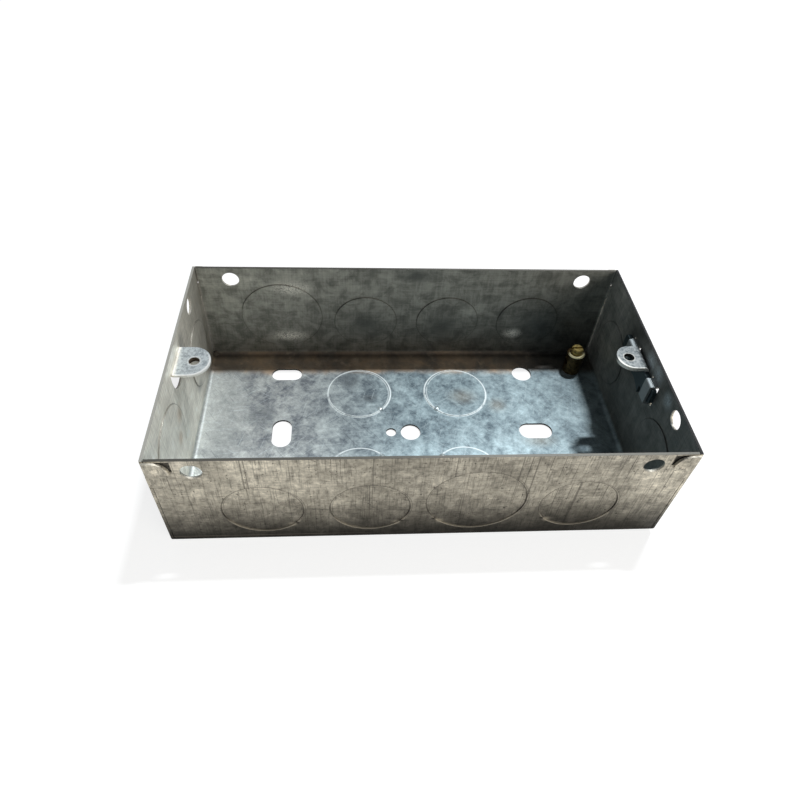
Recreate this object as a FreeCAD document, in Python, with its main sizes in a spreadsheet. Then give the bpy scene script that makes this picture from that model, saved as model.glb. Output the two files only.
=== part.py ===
import FreeCAD, Part
import os

import Sketcher

# Flush back box: one folded sheet with knockouts, a lanced fixed lug and pressed loops,
# a sliding lug held by the loops, and a brass earth terminal with its screw.
# Millimetres, +Z up, origin at the centre of the base's underside, +X to the sliding lug.

doc = FreeCAD.newDocument("FlushBackBox")
sheet = doc.addObject("Spreadsheet::Sheet", "Sizes")

SIZES = {
    # Box and sheet. A fully rounded end takes the share full_round of its half width.
    "box_length": 132.0,
    "box_width": 72.0,
    "box_height": 36.5,
    "gauge": 0.7,
    "fold_radius": 1.4,
    "seam_gap": 0.2,
    "fold_notch": 1.3,
    "full_round": 0.98,

    # Corner tabs and the locating step beside each one
    "tab_reach": 6.0,
    "tab_depth": 5.6,
    "tab_drop": 0.4,
    "tab_top_round": 3.9,
    "tab_low_round": 1.2,
    "tab_relief": 0.6,
    "tab_bend": 1.1,
    "step_depth": 10.7,
    "recess_margin": 0.55,
    "recess_drop": 0.5,
    "recess_height": 3.8,
    "recess_depth": 0.35,
    "dimple_radius": 3.2,
    "dimple_depth": 0.45,
    "dimple_inset": 3.7,
    "dimple_up": 2.3,

    # Knockouts, each sheared part of the way through and pressed inwards by slug_shift
    "small_knockout": 10.2,
    "large_knockout": 12.85,
    "slug_shift": 0.25,
    "knockout_pitch": 27.1,
    "small_below_middle": 3.05,
    "large_below_middle": 0.75,
    "end_knockout_inset": 15.6,
    "end_large_inset": 16.7,
    "base_knockout_along": 15.8,
    "base_knockout_across": 16.4,

    # Fixing holes and slots
    "side_hole": 2.6,
    "side_hole_inset": 10.8,
    "side_hole_drop": 4.4,
    "end_hole_inset": 13.8,
    "end_hole_drop": 3.9,
    "centre_hole": 3.1,
    "pilot_hole": 1.6,
    "pilot_offset": 6.1,
    "corner_hole": 3.3,
    "fixing_end_inset": 26.2,
    "fixing_side_inset": 11.0,
    "corner_slot_length": 9.9,
    "corner_slot_width": 5.2,
    "middle_slot_length": 10.6,
    "middle_slot_width": 6.0,

    # Lugs
    "lug_inset": 5.7,
    "lug_drop": 4.2,
    "lug_fold": 0.5,
    "lance_gap": 0.2,
    "lug_thread": 1.45,
    "fixed_lug_half": 5.4,
    "fixed_lug_tip": 4.3,
    "collar_wall": 0.8,
    "collar_drop": 0.8,
    "window_margin": 0.7,
    "window_depth": 8.1,
    "sliding_gauge": 1.2,
    "sliding_half": 4.4,
    "sliding_tip": 3.4,
    "sliding_shift": 1.2,
    "sliding_clear": 0.12,
    "wing_half": 12.0,
    "wing_side_clear": 0.15,
    "wing_corner": 1.0,
    "plate_half": 4.7,
    "plate_foot_drop": 13.8,
    "plate_arch": 1.9,
    "arch_radius": 7.0,

    # Pressed loops
    "loop_width": 3.5,
    "loop_offset": 7.9,
    "loop_top_drop": 4.9,
    "loop_foot_drop": 12.1,
    "loop_slope": 0.3,
    "loop_slit": 0.8,
    "loop_bend": 0.5,

    # Earth terminal
    "post_radius": 2.95,
    "post_height": 8.2,
    "post_end_gap": 4.75,
    "post_side_gap": 5.25,
    "post_chamfer": 0.3,
    "rivet_radius": 1.9,
    "rivet_clear": 0.05,
    "wire_hole": 1.3,
    "wire_up": 4.2,
    "screw_radius": 1.95,
    "screw_clear": 0.05,
    "screw_proud": 2.0,
    "screw_floor": 1.2,
    "screw_rest": 0.2,
    "screw_chamfer": 0.35,
    "slot_width": 0.7,
    "slot_depth": 0.9,
}
for row, (alias, number) in enumerate(SIZES.items(), 1):
    sheet.set("A%d" % row, alias)
    sheet.set("B%d" % row, str(number))
    sheet.setAlias("B%d" % row, alias)
doc.recompute()


# Places that several pieces share, written as formulas of the sizes above.
LUG_OUT = "( box_length / 2 - lug_inset )"
LUG_UP = "( box_height - lug_drop )"
TAB_FOOT = "( box_height - tab_depth )"
STEP_FOOT = "( box_height - step_depth )"
LOOP_TOP = "( box_height - loop_top_drop )"
LOOP_FOOT = "( box_height - loop_foot_drop )"
SMALL_UP = "( box_height / 2 - small_below_middle )"
LARGE_UP = "( box_height / 2 - large_below_middle )"
FIXING_ALONG = "( box_length / 2 - fixing_end_inset )"
FIXING_ACROSS = "( box_width / 2 - fixing_side_inset )"
POST_ALONG = "( box_length / 2 - gauge - post_end_gap - post_radius )"
POST_ACROSS = "( box_width / 2 - gauge - post_side_gap - post_radius )"
LOOP_RISE = "( sliding_clear + sliding_gauge + wing_side_clear + gauge )"


def formula(text):
    """Puts the sheet's name in front of every alias in a formula."""
    words = []
    for word in text.split():
        named = word.lstrip("(")
        opened = word[:len(word) - len(named)]
        closed = named.rstrip(")")
        ending = named[len(closed):]
        if closed and closed[0].isalpha():
            closed = "Sizes." + closed
        words.append(opened + closed + ending)
    return " ".join(words)


def bind(item, **sizes):
    """Binds an object's properties to formulas, with a double underscore for a dot."""
    for name, text in sizes.items():
        item.setExpression(name.replace("__", "."), formula(text))


def new_body(name):
    """Makes an empty body with a label of its own."""
    body = doc.addObject("PartDesign::Body", name)
    body.Label = name
    return body


def sketch_on(body, role, name, offset=None):
    """Starts a sketch on one of the body's origin planes, moved along its normal."""
    plane = [item for item in body.Origin.OriginFeatures if item.Role == role][0]
    sketch = body.newObject("Sketcher::SketchObject", name)
    sketch.AttachmentSupport = (plane, [""])
    sketch.MapMode = "FlatFace"
    if offset:
        bind(sketch, AttachmentOffset__Base__z=offset)
    return sketch


def tie(sketch, geometry, point, across, up):
    """Ties one point of a sketch to formulas for its two coordinates."""
    for kind, text in (("DistanceX", across), ("DistanceY", up)):
        index = sketch.addConstraint(Sketcher.Constraint(kind, -1, 1, geometry, point, 1.0))
        sketch.setExpression("Constraints[%d]" % index, formula(text))


def outline(sketch, corners):
    """Draws a closed outline of straight lines through corners given as formulas."""
    first = sketch.GeometryCount
    count = len(corners)
    start = FreeCAD.Vector(10, 0, 0)
    turn = FreeCAD.Rotation(FreeCAD.Vector(0, 0, 1), 360.0 / count)
    for _ in range(count):
        end = turn.multVec(start)
        sketch.addGeometry(Part.LineSegment(start, end), False)
        start = end
    for step in range(count):
        here = first + step
        following = first + (step + 1) % count
        sketch.addConstraint(Sketcher.Constraint("Coincident", here, 2, following, 1))
        tie(sketch, here, 1, *corners[step])


def rectangle(sketch, left, low, right, high):
    """Draws a rectangle between two opposite corners given as formulas."""
    outline(sketch, [(left, low), (right, low), (right, high), (left, high)])


def circle(sketch, across, up, radius):
    """Draws a circle with its centre and radius given as formulas."""
    centre = FreeCAD.Vector(1, 1, 0)
    index = sketch.addGeometry(Part.Circle(centre, FreeCAD.Vector(0, 0, 1), 1.0), False)
    tie(sketch, index, 3, across, up)
    limit = sketch.addConstraint(Sketcher.Constraint("Radius", index, 1.0))
    sketch.setExpression("Constraints[%d]" % limit, formula(radius))


def pad(body, sketch, length, name, middle=False, back=False):
    """Pads a sketch by a formula's length."""
    feature = body.newObject("PartDesign::Pad", name)
    feature.Profile = sketch
    feature.Midplane = middle
    feature.Reversed = back
    bind(feature, Length=length)
    doc.recompute()
    return feature


def pocket(body, sketch, length, name, middle=False, back=False):
    """Cuts a sketch into the body and checks that material came away."""
    before = body.Shape.Volume
    feature = body.newObject("PartDesign::Pocket", name)
    feature.Profile = sketch
    feature.Midplane = middle
    feature.Reversed = back
    bind(feature, Length=length)
    doc.recompute()
    if body.Shape.Volume >= before:
        raise RuntimeError("%s cuts nothing" % name)
    return feature


def value(text):
    """Reads one named size back as a number."""
    return float(sheet.get(text))


X_AXIS = FreeCAD.Vector(1, 0, 0)
Y_AXIS = FreeCAD.Vector(0, 1, 0)
Z_AXIS = FreeCAD.Vector(0, 0, 1)


def edges_along(shape, axis, test):
    """Names the straight edges along one axis whose two ends both pass a test."""
    names = []
    for index, edge in enumerate(shape.Edges):
        ends = [vertex.Point for vertex in edge.Vertexes]
        if len(ends) < 2 or not all(test(end) for end in ends):
            continue
        span = ends[1] - ends[0]
        if abs(span.dot(axis)) > 0.999 * span.Length:
            names.append("Edge%d" % (index + 1))
    return names


def rims_at(shape, height):
    """Names the full circles that lie at one height."""
    names = []
    for index, edge in enumerate(shape.Edges):
        if len(edge.Vertexes) == 1 and near(edge.Vertexes[0].Z, height):
            names.append("Edge%d" % (index + 1))
    return names


def fillet(body, axis, test, radius, name):
    """Rounds the edges along an axis that pass a test with a formula's radius."""
    base = body.Tip
    feature = body.newObject("PartDesign::Fillet", name)
    feature.Base = (base, edges_along(base.Shape, axis, test))
    bind(feature, Radius=radius)
    doc.recompute()
    return feature


def near(first, second):
    """Tells whether two coordinates are the same."""
    return abs(first - second) < 0.001


def round_folds(body, height, radius, name):
    """Rounds the four level edges of the tray at one height."""
    base = body.Tip
    feature = body.newObject("PartDesign::Fillet", name)
    level = lambda p: near(p.z, height)
    names = edges_along(base.Shape, X_AXIS, level) + edges_along(base.Shape, Y_AXIS, level)
    feature.Base = (base, names)
    bind(feature, Radius=radius)
    doc.recompute()


def folded_sheet():
    """Makes the tray, its tabs, its lanced lug and its loops, before the punched holes."""
    body = new_body("folded_sheet")
    half_length = value("box_length") / 2
    half_width = value("box_width") / 2
    gauge = value("gauge")

    outer = sketch_on(body, "XY_Plane", "tray_outline")
    rectangle(outer, "- box_length / 2", "- box_width / 2", "box_length / 2", "box_width / 2")
    pad(body, outer, "box_height", "tray_block")
    round_folds(body, 0, "fold_radius + gauge", "outer_folds")
    inner = sketch_on(body, "XY_Plane", "tray_hollow", "box_height")
    rectangle(inner, "gauge - box_length / 2", "gauge - box_width / 2",
              "box_length / 2 - gauge", "box_width / 2 - gauge")
    pocket(body, inner, "box_height - gauge", "hollow")
    round_folds(body, gauge, "fold_radius", "inner_folds")
    corner_gaps(body)
    corner_tabs(body, half_length, half_width, gauge)
    fixed_lug(body, half_length, gauge)
    loops(body, half_length, gauge)
    return body


def corner_gaps(body):
    """Opens the seams where each long wall ends between the two end walls."""
    seams = sketch_on(body, "XZ_Plane", "seam_lines")
    for sign in ("", "- "):
        near_end = sign + "( box_length / 2 - gauge )"
        far_end = sign + "( box_length / 2 - gauge - seam_gap )"
        rectangle(seams, near_end, "gauge + fold_radius", far_end, STEP_FOOT)
        rectangle(seams, near_end, TAB_FOOT + " - tab_relief", far_end, "box_height + gauge")
    pocket(body, seams, "box_width + gauge", "seams", middle=True)
    corner_slot(body, "step_foot", STEP_FOOT, "seam_gap", "gauge")
    corner_slot(body, "step_side", TAB_FOOT + " - tab_relief", "step_depth - tab_depth - tab_relief", "0")
    corner_slot(body, "step_head", TAB_FOOT, "tab_relief", "gauge")


def corner_slot(body, name, top, depth, over):
    """Cuts a slot at the four corners, from the end walls' inside to past their outside."""
    slots = sketch_on(body, "XY_Plane", name + "_lines", top)
    for across in ("", "- "):
        for along in ("", "- "):
            rectangle(slots,
                      along + "( box_length / 2 - gauge )",
                      across + "( box_width / 2 - gauge - seam_gap )",
                      along + "( box_length / 2 + gauge )",
                      across + "( box_width / 2 - gauge + " + over + " * 2 )")
    pocket(body, slots, depth, name)


def corner_tabs(body, half_length, half_width, gauge):
    """Adds the four rounded tabs that wrap from the end walls round the long walls."""
    for name, plane, back in (("front", "box_width / 2", False), ("rear", "- box_width / 2", True)):
        tabs = sketch_on(body, "XZ_Plane", name + "_tab_lines", plane)
        for sign in ("", "- "):
            rectangle(tabs, sign + "( box_length / 2 - tab_reach )", TAB_FOOT,
                      sign + "box_length / 2", "box_height - tab_drop")
        pad(body, tabs, "gauge", name + "_tabs", back=back)
    reach = half_length - value("tab_reach")
    top = value("box_height") - value("tab_drop")
    low = value("box_height") - value("tab_depth")
    fillet(body, Y_AXIS, lambda p: near(abs(p.x), reach) and near(p.z, top),
           "tab_top_round", "tab_tops")
    fillet(body, Y_AXIS, lambda p: near(abs(p.x), reach) and near(p.z, low),
           "tab_low_round", "tab_feet")
    outside = half_width + gauge
    fillet(body, Z_AXIS, lambda p: near(abs(p.x), half_length) and near(abs(p.y), outside),
           "tab_bend", "tab_folds")


def fixed_lug(body, half_length, gauge):
    """Lances a rounded tongue from the left wall, folds it in and taps it."""
    window = sketch_on(body, "YZ_Plane", "window_lines", "gauge * 2 - box_length / 2")
    rectangle(window, "- ( fixed_lug_half + window_margin )", LUG_UP + " - window_depth",
              "fixed_lug_half + window_margin", LUG_UP + " + lug_fold + lance_gap")
    pocket(body, window, "gauge * 3", "window")
    top = value("box_height") - value("lug_drop")
    foot = top - value("window_depth")
    fillet(body, X_AXIS, lambda p: near(p.z, foot),
           "( fixed_lug_half + window_margin ) * full_round", "window_round")

    tongue = sketch_on(body, "XZ_Plane", "tongue_lines")
    tip = "fixed_lug_tip - " + LUG_OUT
    outline(tongue, [("- box_length / 2", LUG_UP + " + lug_fold + lance_gap"),
                     ("gauge - box_length / 2", LUG_UP + " + lug_fold + lance_gap"),
                     ("gauge - box_length / 2", LUG_UP),
                     (tip, LUG_UP),
                     (tip, LUG_UP + " - gauge"),
                     ("- box_length / 2", LUG_UP + " - gauge")])
    pad(body, tongue, "fixed_lug_half * 2", "tongue", middle=True)
    tip_at = value("fixed_lug_tip") + value("lug_inset") - half_length
    fillet(body, Y_AXIS, lambda p: near(p.x, gauge - half_length) and near(p.z, top),
           "lug_fold", "lug_inner_fold")
    fillet(body, Y_AXIS, lambda p: near(p.x, -half_length) and near(p.z, top - gauge),
           "lug_fold + gauge", "lug_outer_fold")
    fillet(body, Z_AXIS, lambda p: near(p.x, tip_at), "fixed_lug_half * full_round", "lug_round")

    collar = sketch_on(body, "XY_Plane", "collar_lines", LUG_UP + " - gauge")
    circle(collar, "- " + LUG_OUT, "0", "lug_thread + collar_wall")
    pad(body, collar, "collar_drop", "collar", back=True)
    thread = sketch_on(body, "XY_Plane", "lug_thread_lines", LUG_UP + " + gauge")
    circle(thread, "- " + LUG_OUT, "0", "lug_thread")
    pocket(body, thread, "gauge * 2 + collar_drop + lance_gap", "lug_thread_hole")


def loops(body, half_length, gauge):
    """Opens the right wall in two places and presses a loop inwards from each."""
    openings = sketch_on(body, "YZ_Plane", "loop_openings_lines", "box_length / 2 + gauge")
    places = (("front", "- loop_offset"), ("rear", "loop_offset"))
    for name, place in places:
        rectangle(openings, place + " - loop_width / 2 - loop_slit", LOOP_FOOT,
                  place + " + loop_width / 2 + loop_slit", LOOP_TOP)
    pocket(body, openings, "gauge * 3", "loop_openings")
    inside = "box_length / 2 - gauge"
    hollow = "box_length / 2 - " + LOOP_RISE
    for name, place in places:
        strip = sketch_on(body, "XZ_Plane", name + "_loop_lines", "- ( " + place + " )")
        outline(strip, [(inside, LOOP_TOP),
                        (inside + " - " + LOOP_RISE, LOOP_TOP + " - loop_slope"),
                        (inside + " - " + LOOP_RISE, LOOP_FOOT + " + loop_slope"),
                        (inside, LOOP_FOOT),
                        ("box_length / 2", LOOP_FOOT),
                        ("box_length / 2", LOOP_FOOT + " + gauge"),
                        (hollow, LOOP_FOOT + " + loop_slope + gauge"),
                        (hollow, LOOP_TOP + " - loop_slope - gauge"),
                        ("box_length / 2", LOOP_TOP + " - gauge"),
                        ("box_length / 2", LOOP_TOP)])
        pad(body, strip, "loop_width", name + "_loop", middle=True)
    rise = value("sliding_clear") + value("sliding_gauge") + value("wing_side_clear") + gauge
    crown = half_length - gauge - rise
    fillet(body, Y_AXIS, lambda p: near(p.x, crown), "loop_bend", "loop_crowns")


def primitive(kind, name, **sizes):
    """Makes a Part primitive with its sizes bound to formulas."""
    item = doc.addObject(kind, name)
    bind(item, **sizes)
    return item


TURNS = {
    "base": FreeCAD.Rotation(),
    "long": FreeCAD.Rotation(FreeCAD.Vector(1, 0, 0), 90),
    "end": FreeCAD.Rotation(FreeCAD.Vector(1, 1, 1), 120),
}
# Which coordinate a cutter of each wall points along, and which way.
DIRECTIONS = {
    "base": (2, " + "),
    "long": (1, " - "),
    "end": (0, " + "),
}


def place(item, wall, spin, along, across, up):
    """Turns a cutter to a wall's direction and ties its place to formulas."""
    turn = TURNS[wall].multiply(FreeCAD.Rotation(FreeCAD.Vector(0, 0, 1), spin))
    item.Placement = FreeCAD.Placement(FreeCAD.Vector(), turn)
    bind(item, Placement__Base__x=along, Placement__Base__y=across, Placement__Base__z=up)


def shifted(wall, spot, offset):
    """Moves a cutter's place along its own direction by a formula."""
    moved = list(spot)
    number, sign = DIRECTIONS[wall]
    moved[number] += sign + "( " + offset + " )"
    return moved


def knockout(name, wall, inward, radius, *spot):
    """Makes one knockout: the recess in the sheet's outside and the boss on its inside.

    Inward tells whether the cutters of its wall point into the box.
    """
    recess = primitive("Part::Cylinder", name + "_recess", Radius=radius,
                       Height="gauge + slug_shift")
    place(recess, wall, 0, *shifted(wall, spot, "0" if inward else "gauge * 2 - slug_shift"))
    boss = primitive("Part::Cylinder", name + "_boss", Radius=radius,
                     Height="gauge / 2 + slug_shift")
    place(boss, wall, 0, *shifted(wall, spot, "gauge * 1.5" if inward else "gauge - slug_shift"))
    return recess, boss


def hole(name, wall, radius, along, across, up):
    """Makes the cutter of one round hole."""
    cutter = primitive("Part::Cylinder", name, Radius=radius, Height="gauge * 3")
    place(cutter, wall, 0, along, across, up)
    return cutter


def slot(name, length, width, spin, along, across):
    """Makes the cutter of one round-ended slot in the base."""
    straight = primitive("Part::Box", name + "_middle", Length=length + " - " + width,
                         Width=width, Height="gauge * 3")
    bind(straight, Placement__Base__x="( " + width + " - " + length + " ) / 2",
         Placement__Base__y="- " + width + " / 2")
    ends = []
    for side, sign in (("left", "-"), ("right", "+")):
        end = primitive("Part::Cylinder", name + "_" + side, Radius=width + " / 2",
                        Height="gauge * 3")
        bind(end, Placement__Base__x=sign + " ( " + length + " - " + width + " ) / 2")
        ends.append(end)
    cutter = doc.addObject("Part::MultiFuse", name)
    cutter.Shapes = [straight] + ends
    place(cutter, "base", spin, along, across, "- gauge")
    return cutter


def fold_notch(name, along, across):
    """Makes the square notch that parts two folds at a corner of the base."""
    cutter = primitive("Part::Box", name, Length="fold_notch", Width="fold_notch",
                       Height="gauge * 3 + fold_radius")
    middle = " / 2 - gauge - fold_notch / 2 - seam_gap / 2 ) - fold_notch / 2"
    bind(cutter, Placement__Base__x=along + "( box_length" + middle,
         Placement__Base__y=across + "( box_width" + middle,
         Placement__Base__z="- gauge")
    return cutter


def tab_recess(name, along, outside):
    """Makes the cutter of the shallow recess round the curved top of one corner tab."""
    cutter = primitive("Part::Box", name, Width="recess_depth", Height="recess_height",
                       Length="tab_reach + recess_margin - gauge - seam_gap / 2")
    if along:
        start = "gauge + seam_gap / 2 - box_length / 2"
    else:
        start = "box_length / 2 - tab_reach - recess_margin"
    bind(cutter, Placement__Base__x=start, Placement__Base__y=outside,
         Placement__Base__z="box_height - recess_drop - recess_height")
    return cutter


def dimple(name, along, across):
    """Makes the round punch that clinches one corner tab."""
    punch = primitive("Part::Sphere", name, Radius="dimple_radius")
    reach = "( box_width / 2 + gauge + dimple_radius - dimple_depth )"
    bind(punch, Placement__Base__x=along + "( box_length / 2 - dimple_inset )",
         Placement__Base__y=across + reach,
         Placement__Base__z=TAB_FOOT + " + dimple_up")
    return punch


def punches():
    """Gathers every cutter that punches the folded sheet, and the raised places."""
    tools = []
    raised = []
    walls = (("front", "gauge * 2 - box_width / 2", False, "large_knockout", 3),
             ("rear", "box_width / 2 + gauge", True, "large_knockout", 1))
    for wall, across, inward, large, large_place in walls:
        for number, pitch in enumerate((-1.5, -0.5, 0.5, 1.5), 1):
            radius = large if number == large_place else "small_knockout"
            up = LARGE_UP if number == large_place else SMALL_UP
            recess, boss = knockout("%s_knockout_%d" % (wall, number), "long", inward, radius,
                                    "knockout_pitch * %s" % pitch, across, up)
            tools.append(recess)
            raised.append(boss)
        for side, sign in (("left", "- "), ("right", "")):
            tools.append(hole("%s_%s_hole" % (wall, side), "long", "side_hole",
                              sign + "( box_length / 2 - side_hole_inset )", across,
                              "box_height - side_hole_drop"))
    for more_tools, more_raised in (end_punches(), base_punches()):
        tools += more_tools
        raised += more_raised
    for along in ("- ", ""):
        for across, outside in (("- ", "- box_width / 2"), ("", "box_width / 2 - recess_depth")):
            number = len(tools)
            tools.append(dimple("dimple_%d" % number, along, across))
            tools.append(tab_recess("tab_recess_%d" % number, along, outside))
    return tools, raised


def end_punches():
    """Gathers the cutters and raised places of the two end walls."""
    left = "- box_length / 2 - gauge"
    right = "box_length / 2 - gauge * 2"
    small_out = "( box_width / 2 - end_knockout_inset )"
    large_out = "( box_width / 2 - end_large_inset )"
    hole_out = "( box_width / 2 - end_hole_inset )"
    hole_up = "box_height - end_hole_drop"
    tools = [hole("left_hole", "end", "side_hole", left, hole_out, hole_up),
             hole("right_hole", "end", "side_hole", right, "- " + hole_out, hole_up)]
    raised = []
    small = "small_knockout"
    for name, inward, radius, along, across, up in (
            ("left_knockout_1", True, "large_knockout", left, "- " + large_out, LARGE_UP),
            ("left_knockout_2", True, small, left, small_out, SMALL_UP),
            ("right_knockout_1", False, small, right, "- " + small_out, SMALL_UP),
            ("right_knockout_2", False, small, right, small_out, SMALL_UP)):
        recess, boss = knockout(name, "end", inward, radius, along, across, up)
        tools.append(recess)
        raised.append(boss)
    return tools, raised


def base_punches():
    """Gathers the cutters and raised places of the base, with a notch at each corner."""
    tools = []
    raised = []
    corners = (("- ", ""), ("", ""), ("- ", "- "), ("", "- "))
    for number, (along, across) in enumerate(corners, 1):
        recess, boss = knockout("base_knockout_%d" % number, "base", True, "small_knockout",
                                along + "base_knockout_along", across + "base_knockout_across",
                                "- gauge")
        tools += [recess, fold_notch("fold_notch_%d" % number, along, across)]
        raised.append(boss)
    tools.append(hole("centre_hole_cut", "base", "centre_hole", "0", "0", "- gauge"))
    tools.append(hole("pilot_hole_cut", "base", "pilot_hole", "- pilot_offset", "0", "- gauge"))
    tools.append(hole("rivet_hole_cut", "base", "rivet_radius + rivet_clear",
                      POST_ALONG, POST_ACROSS, "- gauge"))
    for name, along, across, turned in (("rear", "", "", "- "), ("front", "- ", "- ", "")):
        tools.append(hole(name + "_round_hole", "base", "corner_hole",
                          along + FIXING_ALONG, across + FIXING_ACROSS, "- gauge"))
        tools.append(slot(name + "_corner_slot", "corner_slot_length", "corner_slot_width", 0,
                          turned + FIXING_ALONG, across + FIXING_ACROSS))
    tools.append(slot("left_middle_slot", "middle_slot_length", "middle_slot_width", 90,
                      "- " + FIXING_ALONG, "0"))
    tools.append(slot("right_middle_slot", "middle_slot_length", "middle_slot_width", 0,
                      FIXING_ALONG, "0"))
    return tools, raised


def box_shell():
    """Punches the folded sheet with all its holes, slots and knockouts."""
    cutters, raised = punches()
    pressed = doc.addObject("Part::MultiFuse", "pressed_sheet")
    pressed.Shapes = [folded_sheet()] + raised
    tools = doc.addObject("Part::MultiFuse", "punches")
    tools.Shapes = cutters
    shell = doc.addObject("Part::Cut", "box_shell")
    shell.Base = pressed
    shell.Tool = tools
    shell.Label = "box_shell"
    return shell


def adjustable_lug():
    """Makes the sliding lug: a tapped ear folded from a cross whose arms run in the loops."""
    body = new_body("adjustable_lug")
    back = "box_length / 2 - gauge - sliding_clear"
    face = back + " - sliding_gauge"
    tip = LUG_OUT + " - sliding_tip"
    wing_top = LOOP_TOP + " - loop_slope - gauge - wing_side_clear"
    wing_foot = LOOP_FOOT + " + loop_slope + gauge + wing_side_clear"
    plate_foot = "( box_height - plate_foot_drop )"
    section = sketch_on(body, "XZ_Plane", "lug_section", "- sliding_shift")
    outline(section, [(tip, LUG_UP), (back, LUG_UP), (back, plate_foot), (face, plate_foot),
                      (face, LUG_UP + " - sliding_gauge"), (tip, LUG_UP + " - sliding_gauge")])
    pad(body, section, "wing_half * 2", "folded_plate", middle=True)

    trim = sketch_on(body, "YZ_Plane", "wing_trim", "box_length / 2")
    for sign in ("-", "+"):
        beyond = "sliding_shift " + sign + " ( wing_half + gauge )"
        rectangle(trim, "sliding_shift " + sign + " sliding_half", wing_top,
                  beyond, LUG_UP + " + gauge")
        rectangle(trim, "sliding_shift " + sign + " plate_half", wing_foot,
                  beyond, plate_foot + " - gauge")
    pocket(body, trim, "box_length / 4", "cross")
    half_length = value("box_length") / 2
    back_at = half_length - value("gauge") - value("sliding_clear")
    face_at = back_at - value("sliding_gauge")
    tip_at = half_length - value("lug_inset") - value("sliding_tip")
    top = value("box_height") - value("lug_drop")
    under = top - value("sliding_gauge")
    fillet(body, Z_AXIS, lambda p: near(p.x, tip_at), "sliding_half * full_round", "ear_round")
    fillet(body, Y_AXIS, lambda p: near(p.x, face_at) and near(p.z, under),
           "lug_fold", "ear_inner_fold")
    fillet(body, Y_AXIS, lambda p: near(p.x, back_at) and near(p.z, top),
           "lug_fold + sliding_gauge", "ear_outer_fold")
    shift = value("sliding_shift")
    wing = value("wing_half")
    fillet(body, X_AXIS, lambda p: near(abs(p.y - shift), wing), "wing_corner", "wing_corners")

    arch = sketch_on(body, "YZ_Plane", "arch_lines", "box_length / 2")
    circle(arch, "sliding_shift", plate_foot + " + plate_arch - arch_radius", "arch_radius")
    pocket(body, arch, "gauge * 4", "foot_arch")
    thread = sketch_on(body, "XY_Plane", "ear_thread_lines", LUG_UP + " + gauge")
    circle(thread, LUG_OUT, "sliding_shift", "lug_thread")
    pocket(body, thread, "gauge * 3", "ear_thread_hole")
    return body


def earth_post():
    """Makes the brass post: riveted through the base, bored for its screw and its wire."""
    body = new_body("earth_post")
    foot = sketch_on(body, "XY_Plane", "post_lines", "gauge")
    circle(foot, POST_ALONG, POST_ACROSS, "post_radius")
    pad(body, foot, "post_height", "post_round")
    top = value("gauge") + value("post_height")
    base = body.Tip
    chamfer = body.newObject("PartDesign::Chamfer", "post_edge")
    chamfer.Base = (base, rims_at(base.Shape, top))
    bind(chamfer, Size="post_chamfer")
    doc.recompute()
    rivet = sketch_on(body, "XY_Plane", "rivet_lines", "gauge")
    circle(rivet, POST_ALONG, POST_ACROSS, "rivet_radius")
    pad(body, rivet, "gauge", "rivet", back=True)
    bore = sketch_on(body, "XY_Plane", "bore_lines", "gauge + post_height")
    circle(bore, POST_ALONG, POST_ACROSS, "screw_radius + screw_clear")
    pocket(body, bore, "post_height - screw_floor", "bore")
    wire = sketch_on(body, "YZ_Plane", "wire_lines", POST_ALONG)
    circle(wire, POST_ACROSS, "gauge + wire_up", "wire_hole")
    pocket(body, wire, "post_radius * 4", "wire_way", middle=True)
    return body


def earth_screw():
    """Makes the slotted screw that clamps the wire in the post."""
    body = new_body("earth_screw")
    foot = "gauge + wire_up + wire_hole + screw_rest"
    head = "gauge + post_height + screw_proud"
    shank = sketch_on(body, "XY_Plane", "screw_lines", foot)
    circle(shank, POST_ALONG, POST_ACROSS, "screw_radius")
    pad(body, shank, head + " - ( " + foot + " )", "shank")
    top = value("gauge") + value("post_height") + value("screw_proud")
    base = body.Tip
    edge = body.newObject("PartDesign::Chamfer", "screw_edge")
    edge.Base = (base, rims_at(base.Shape, top))
    bind(edge, Size="screw_chamfer")
    doc.recompute()
    slot_lines = sketch_on(body, "XY_Plane", "slot_lines", head)
    rectangle(slot_lines, POST_ALONG + " - screw_radius * 1.5", POST_ACROSS + " - slot_width / 2",
              POST_ALONG + " + screw_radius * 1.5", POST_ACROSS + " + slot_width / 2")
    pocket(body, slot_lines, "slot_depth", "slot")
    return body


pieces = [box_shell(), adjustable_lug(), earth_post(), earth_screw()]
doc.recompute()
for item in doc.Objects:
    if "Invalid" in item.State or "Error" in item.State:
        raise RuntimeError("%s did not build" % item.Name)
os.makedirs("parts", exist_ok=True)
for piece in pieces:
    shape = piece.Shape
    if shape.isNull() or not shape.isValid():
        raise RuntimeError("%s has no valid shape" % piece.Label)
    shape.exportStep("parts/%s.step" % piece.Label)
    print(piece.Label, len(shape.Solids), "solid(s)", round(shape.Volume, 1), "mm3")
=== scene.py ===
import math

import bpy
import numpy as np
from mathutils import Matrix, Vector


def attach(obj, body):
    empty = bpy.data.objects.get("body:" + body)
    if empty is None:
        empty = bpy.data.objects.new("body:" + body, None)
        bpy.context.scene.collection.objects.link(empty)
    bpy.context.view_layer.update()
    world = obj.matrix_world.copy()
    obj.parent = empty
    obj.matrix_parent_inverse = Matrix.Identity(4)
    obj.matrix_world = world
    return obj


# Looks of a flush back box: mottled galvanised sheet, bright zinc lugs and a brass terminal.
# Metres, +Z up, origin at the centre of the base's underside.

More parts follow.
